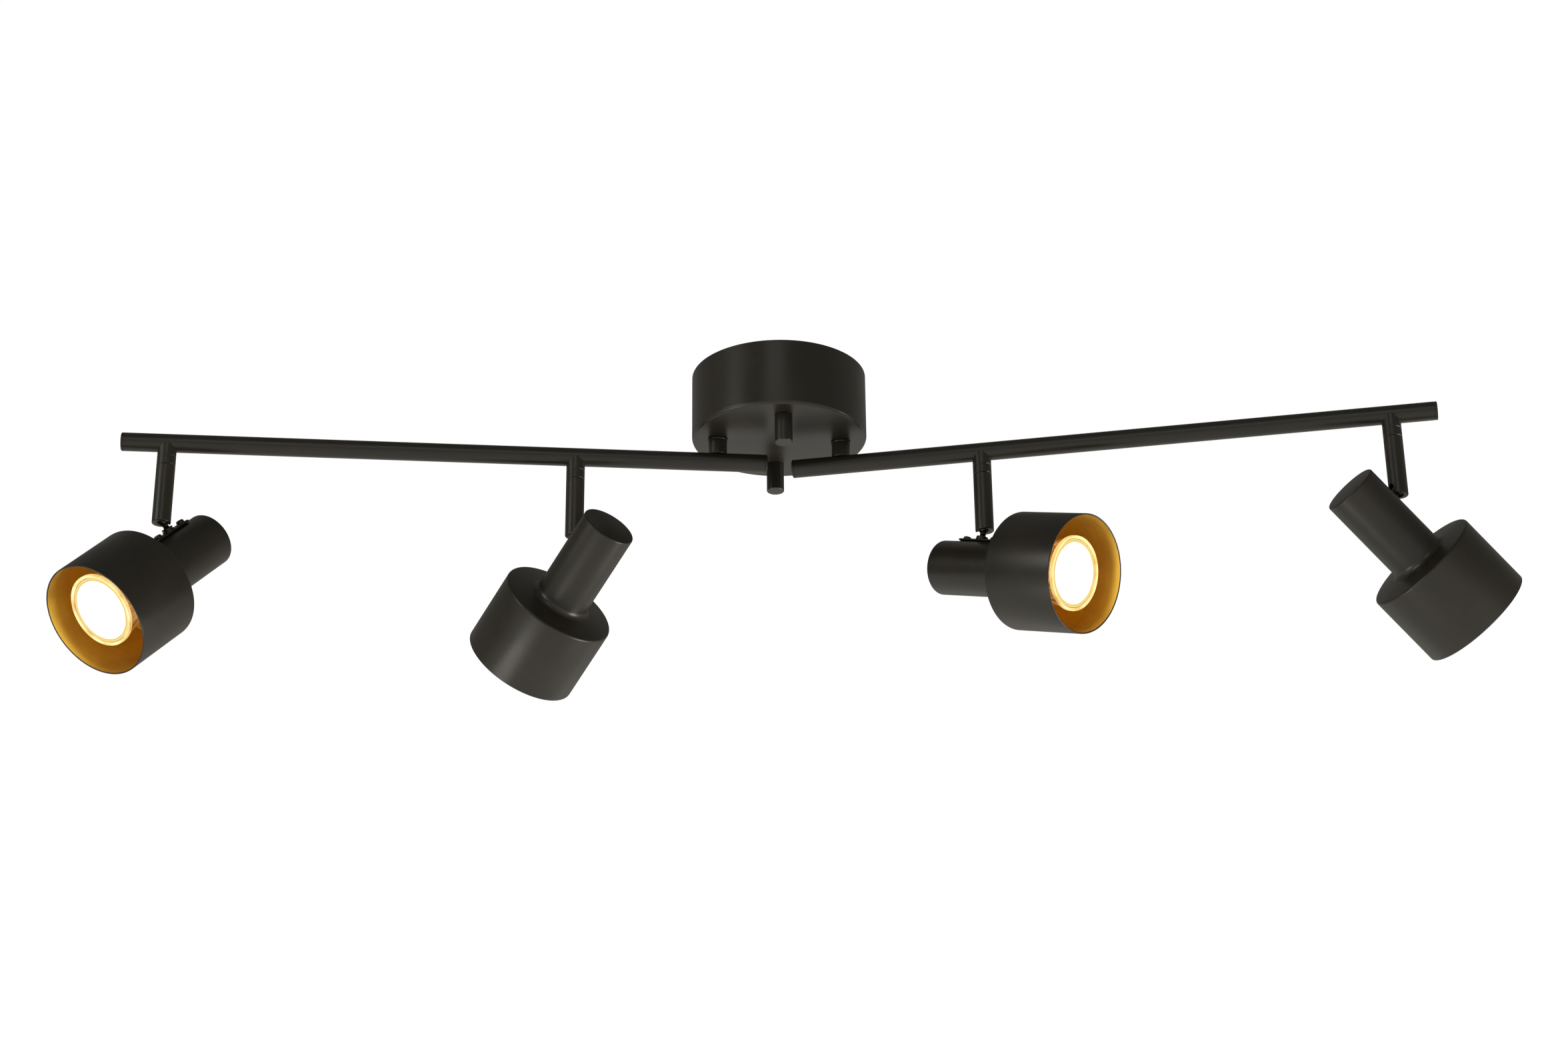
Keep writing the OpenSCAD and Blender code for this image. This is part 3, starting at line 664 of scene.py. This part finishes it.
class SPOTBAR_OT_finishes(bpy.types.Operator):
    """Give every carried-over CAD piece its finish"""

    bl_idname = "spot_bar.finishes"
    bl_label = "Finishes"

    def execute(self, context):
        finish = settings().finish
        coat, small, mirror = satin_coat(), fittings_coat(), lamp_metal()
        zinc = metal("zinc plate", tuple(finish.zinc), roughness=0.3, patina=ZINC_PATINA)
        brass = metal("turned brass", tuple(finish.brass), roughness=0.25, patina=BRASS_PATINA)
        ceramic = moulded("ceramic", tuple(finish.ceramic), roughness=0.6, fine=900.0)
        block = moulded("block plastic", tuple(finish.block), roughness=0.45)
        sheath = moulded("lead sheath", tuple(finish.sheath), roughness=0.5)
        looks = {
            "canopy_shell": coat, "mounting_bracket": zinc, "bracket_fasteners": zinc,
            "cap_nuts": small, "post_rings": small, "terminal_block": block,
            "terminal_screws": brass, "canopy_leads": sheath, "bar": coat, "bar_collars": coat,
            "swivel_nipple": brass, "flange_nut": brass, "end_caps": small, "stem_spindles": small,
            "stem_tube": coat, "knuckle": zinc, "knuckle_nuts": small, "knuckle_plate": small,
            "plate_screws": small, "head_shell": coat, "holder_bracket": zinc,
            "lampholder": ceramic, "lamp_body": mirror, "lamp_glass": mirror,
        }
        for name, obj in frame["nodes"].items():
            family = name
            for side in SIDES:
                family = family.removeprefix(f"{side}_")
            for number in HEADS:
                family = family.removesuffix(f"_{number}")
            for slot in obj.material_slots:
                slot.material = looks[family]
            if not obj.material_slots:
                raise RuntimeError(f"{name} has no material slot")
        return {"FINISHED"}


def shell_outline(inset):
    """Profile of a head shell from its closed end to its rim, at an inset from the outer face."""
    s = settings().shade
    run = s.shade_radius - s.neck_radius - s.fillet - s.edge
    lean = math.degrees(math.atan2(s.drop, run))
    least_edge = 0.3 * MM
    edge = max(s.cap_edge - inset, least_edge)
    return (
        [(0, inset)]
        + arc(s.neck_radius - inset - edge, inset + edge, edge, -90, 0, 5)
        + arc(s.neck_radius + s.fillet, s.neck_length - s.fillet, s.fillet + inset,
              180, 90 + lean, 8)
        + arc(s.shade_radius - s.edge, s.neck_length + s.drop + s.edge, s.edge - inset,
              -90 + lean, 0, 6)
    )


class SPOTBAR_OT_shades(bpy.types.Operator):
    """Spin the head shells: coat outside, gold lacquer inside"""

    bl_idname = "spot_bar.shades"
    bl_label = "Shades"

    def execute(self, context):
        s = settings().shade
        rim = s.neck_length + s.shade_length
        lip = s.wall * 0.45  # radius of both edges of the rim
        inwards, forwards = -0.2, 0.3  # how far the normals of the inner faces lean, at least
        inner = shell_outline(s.wall)
        profile = (
            shell_outline(0)
            + arc(s.shade_radius - lip, rim - lip, lip, 0, 90, 4)
            + arc(s.shade_radius - s.wall + lip, rim - lip, lip, 90, 180, 4)
            + inner[::-1]
        )
        shell = turned("shade", profile)
        dress(shell, satin_coat(), gold_lacquer())
        for face in shell.data.polygons:
            across = face.normal.xy.dot(face.center.xy.normalized())
            inside = across < inwards or face.normal.z > forwards
            if inside and face.center.z < rim - 0.5 * s.wall:
                face.material_index = 1
        on_each_head(shell, "shade", along_head(), "head_shell")
        return {"FINISHED"}


class SPOTBAR_OT_lamps(bpy.types.Operator):
    """Build the lit reflector lamps: front glass, glass ring and glass bowl with its pins"""

    bl_idname = "spot_bar.lamps"
    bl_label = "Lamps"

    def execute(self, context):
        lamp = settings().lamp
        front, r = lamp.height, lamp.radius
        crown = 0.9 * MM  # rise of the lens in its middle
        sunk = 0.4 * MM  # of the lens's middle behind the ring
        lens_back = front - 3 * MM
        lens_r = r - 2.1 * MM
        ball = (lens_r ** 2 + crown ** 2) / (2 * crown)
        half = math.degrees(math.asin(lens_r / ball))
        lens = turned(
            "lens",
            [(0, lens_back), (lens_r, lens_back)] + arc(0, front - sunk - ball, ball, 90 - half, 90, 16),
        )
        outwards = lens.data.attributes.new("outwards", "FLOAT", "POINT")
        for vertex, value in zip(lens.data.vertices, outwards.data):
            value.value = vertex.co.xy.length / lens_r
        dress(lens, lit_glass())
        on_each_head(lens, "lamp_lens", along_lamp, "lamp_glass")

        bead = 0.62 * MM  # radius of the ring's outer bead
        ring_back = front - 2.6 * MM
        ring = turned(
            "ring",
            arc(r - bead, front - bead, bead, 0, 100, 6)
            + arc(r - 2.0 * bead - 0.25 * MM, front - 0.9 * bead, 0.55 * bead, 60, 190, 6)
            + [(r - 2.05 * MM, ring_back), (r, ring_back), (r, front - bead)],
        )
        dress(ring, ring_glass())
        on_each_head(ring, "lamp_ring", along_lamp)

        base_r, base_h = lamp.base_radius, lamp.base_height
        seat = front - 2.8 * MM  # the bowl's front edge, behind the ring
        foot, flare = base_r + 3 * MM, r - 0.6 * MM  # the bowl's radii at its base and its front
        steps, power = 14, 0.62  # of the bowl's curve
        wall, chamfer, cut = 1.4 * MM, 0.8 * MM, 1.2 * MM
        outer = [
            (foot + (flare - foot) * (i / steps) ** power, base_h + (seat - base_h) * i / steps)
            for i in range(steps + 1)
        ]
        inner = [(max(x - wall, base_r), z + cut) for x, z in outer[:-1]] + [(flare - wall, seat)]
        bowl = turned(
            "bowl",
            [(0, 0), (base_r - chamfer, 0), (base_r, chamfer), (base_r, base_h - cut)]
            + outer + inner[::-1] + [(0, base_h + 2 * MM)],
        )
        pins = []
        for side in (-1, 1):
            pin = turned("pin", [(x * MM, z * MM) for x, z in PIN_PROFILE], PIN_ROUND)
            pins.append(place(pin, Matrix.Translation((0, side * PIN_OFFSET, 0))))
        dress(bowl, bowl_glass())
        for pin in pins:
            dress(pin, lamp_metal())
        pick(bowl)
        for pin in pins:
            pin.select_set(True)
        bpy.ops.object.join()
        on_each_head(bowl, "lamp_bowl", along_lamp, "lamp_body")
        return {"FINISHED"}


class SPOTBAR_OT_knuckles(bpy.types.Operator):
    """Turn the ball necks with their threads, and bevel the plates"""

    bl_idname = "spot_bar.knuckles"
    bl_label = "Knuckles"

    def execute(self, context):
        k = settings().knuckle
        below_plate, groove, point = 7.7 * MM, 0.28 * MM, 0.3 * MM
        end = -(k.reach + below_plate)
        start = math.degrees(math.asin(k.bore_radius / k.ball_radius))
        meet = math.degrees(math.acos(k.neck_radius / k.ball_radius))
        ball = arc(0, 0, k.ball_radius, 90 - start, -meet, 24)
        thread = []
        z = ball[-1][1] - k.pitch
        while z > end + k.pitch:
            thread += [(k.neck_radius, z), (k.neck_radius - groove, z - k.pitch / 2)]
            z -= k.pitch
        tip = [(k.neck_radius - point, end), (k.bore_radius, end), (k.bore_radius, ball[0][1])]
        neck = turned("ball neck", ball + thread + tip, NECK_ROUND)
        dress(neck, metal("black zinc plate", tuple(settings().finish.black_zinc), roughness=0.28))
        on_each_head(neck, "ball_neck", Matrix.Identity(4), "knuckle")

        corner, rounding = 1.2 * MM, 0.28 * MM  # the plate's corners seen from above, and its edges
        deselect()
        bpy.ops.mesh.primitive_cube_add(
            size=1, location=(-k.plate_offset, 0, -k.reach - k.plate_thickness / 2),
            scale=(k.plate_length, k.plate_width, k.plate_thickness),
        )
        plate = named("plate")
        bpy.ops.object.transform_apply(location=True, rotation=True, scale=True)
        bpy.ops.object.mode_set(mode="EDIT")
        bpy.ops.mesh.select_all(action="DESELECT")
        bpy.ops.object.mode_set(mode="OBJECT")
        for edge in plate.data.edges:
            a, b = (plate.data.vertices[i].co for i in edge.vertices)
            edge.select = abs(a.z - b.z) > 0.5 * k.plate_thickness
        bpy.ops.object.mode_set(mode="EDIT")
        bpy.ops.mesh.bevel(offset=corner, segments=5, affect="EDGES")
        bpy.ops.object.mode_set(mode="OBJECT")
        bevel = plate.modifiers.new("rounded rims", "BEVEL")
        bevel.width = rounding
        bevel.segments = 3
        bevel.limit_method = "ANGLE"
        bpy.ops.object.modifier_apply(modifier=bevel.name)
        bpy.ops.object.shade_smooth_by_angle(angle=PLATE_SMOOTH)
        dress(plate, fittings_coat())
        on_each_head(plate, "pivot_plate", Matrix.Identity(4), "knuckle_plate")
        return {"FINISHED"}


class SPOTBAR_OT_stage(bpy.types.Operator):
    """Set the pale floor, the soft studio light and the camera"""

    bl_idname = "spot_bar.stage"
    bl_label = "Stage"

    def execute(self, context):
        scene = context.scene
        deselect()
        bpy.ops.mesh.primitive_plane_add(size=FLOOR_SIZE, location=(0, 0, -FLOOR_DROP))
        floor = named("floor")
        material, tree, shader = blank(
            "pale floor", roughness=0.7, emission_color=FLOOR_GLOW, emission_strength=0.52
        )
        speckle = node(tree, "ShaderNodeTexNoise", {"Scale": 30.0})
        tree.links.new(shade_between(tree, speckle.outputs["Fac"], *FLOOR_TONES),
                       shader.inputs["Base Color"])
        dress(floor, material)

        world = bpy.data.worlds.new("studio")
        scene.world = world
        world.use_nodes = True
        tree = world.node_tree
        tree.nodes.clear()
        where = node(tree, "ShaderNodeTexCoord").outputs["Generated"]
        height = node(tree, "ShaderNodeSeparateXYZ", {"Vector": where}).outputs["Z"]
        lift = node(tree, "ShaderNodeMapRange", {"Value": height, "From Min": -1.0, "From Max": 1.0})
        soft = ramp(tree, lift.outputs["Result"], STUDIO_TONES)
        warm = node(tree, "ShaderNodeMix", data_type="RGBA", blend_type="MULTIPLY")
        warm.inputs["Factor"].default_value = 1.0
        tree.links.new(soft, warm.inputs["A"])
        warm.inputs["B"].default_value = STUDIO_TINT
        studio = node(tree, "ShaderNodeBackground", {"Color": warm.outputs["Result"], "Strength": 1.0})
        white = node(tree, "ShaderNodeBackground", {"Color": (1, 1, 1, 1), "Strength": 1.0})
        seen = node(tree, "ShaderNodeLightPath").outputs["Is Camera Ray"]
        both = node(tree, "ShaderNodeMixShader",
                    {0: seen, 1: studio.outputs[0], 2: white.outputs[0]})
        node(tree, "ShaderNodeOutputWorld", {"Surface": both.outputs[0]})

        for name, place_at, size, power in LIGHTS:
            bpy.ops.object.light_add(type="AREA", location=place_at)
            light = bpy.context.object
            light.name = name
            light.data.size = size
            light.data.energy = power
            light.data.color = LIGHT_TINT
            towards = Vector(LIGHT_TARGET) - Vector(place_at)
            light.rotation_euler = towards.to_track_quat("-Z", "Y").to_euler()

        bpy.ops.object.camera_add(location=CAMERA_PLACE)
        camera = bpy.context.object
        camera.name = "camera"
        yaw, pitch, roll = (math.radians(a) for a in CAMERA_TURN)
        aim = (
            Matrix.Rotation(yaw, 3, "Z") @ Matrix.Rotation(pitch, 3, "X")
            @ Matrix.Rotation(roll, 3, "Y") @ Matrix.Rotation(math.pi / 2, 3, "X")
        )
        camera.rotation_euler = aim.to_euler()
        camera.data.sensor_width = SENSOR_WIDTH
        camera.data.lens = LENS
        camera.data.clip_start, camera.data.clip_end = CLIP
        scene.camera = camera
        scene.view_settings.view_transform = "Standard"
        return {"FINISHED"}


class SPOTBAR_PT_panel(bpy.types.Panel):
    """Lists the steps that build the spotlight bar"""

    bl_label = "Spot Bar"
    bl_idname = "SPOTBAR_PT_panel"
    bl_space_type = "VIEW_3D"
    bl_region_type = "UI"
    bl_category = "Spot Bar"

    def draw(self, context):
        for operator in OPERATORS:
            self.layout.operator(operator.bl_idname)


OPERATORS = (
    SPOTBAR_OT_stage,
    SPOTBAR_OT_finishes,
    SPOTBAR_OT_shades,
    SPOTBAR_OT_lamps,
    SPOTBAR_OT_knuckles,
)
CLASSES = (
    ShadeSettings, LampSettings, KnuckleSettings, FinishSettings, SpotBarSettings,
    *OPERATORS, SPOTBAR_PT_panel,
)


def register():
    for cls in CLASSES:
        bpy.utils.register_class(cls)
    bpy.types.Scene.spot_bar = bpy.props.PointerProperty(type=SpotBarSettings)


def unregister():
    del bpy.types.Scene.spot_bar
    for cls in reversed(CLASSES):
        bpy.utils.unregister_class(cls)


def main():
    """Builds everything in order."""
    register()
    bpy.ops.spot_bar.stage()
    bpy.ops.spot_bar.finishes()
    bpy.ops.spot_bar.shades()
    bpy.ops.spot_bar.lamps()
    bpy.ops.spot_bar.knuckles()


if __name__ == "__main__":
    main()
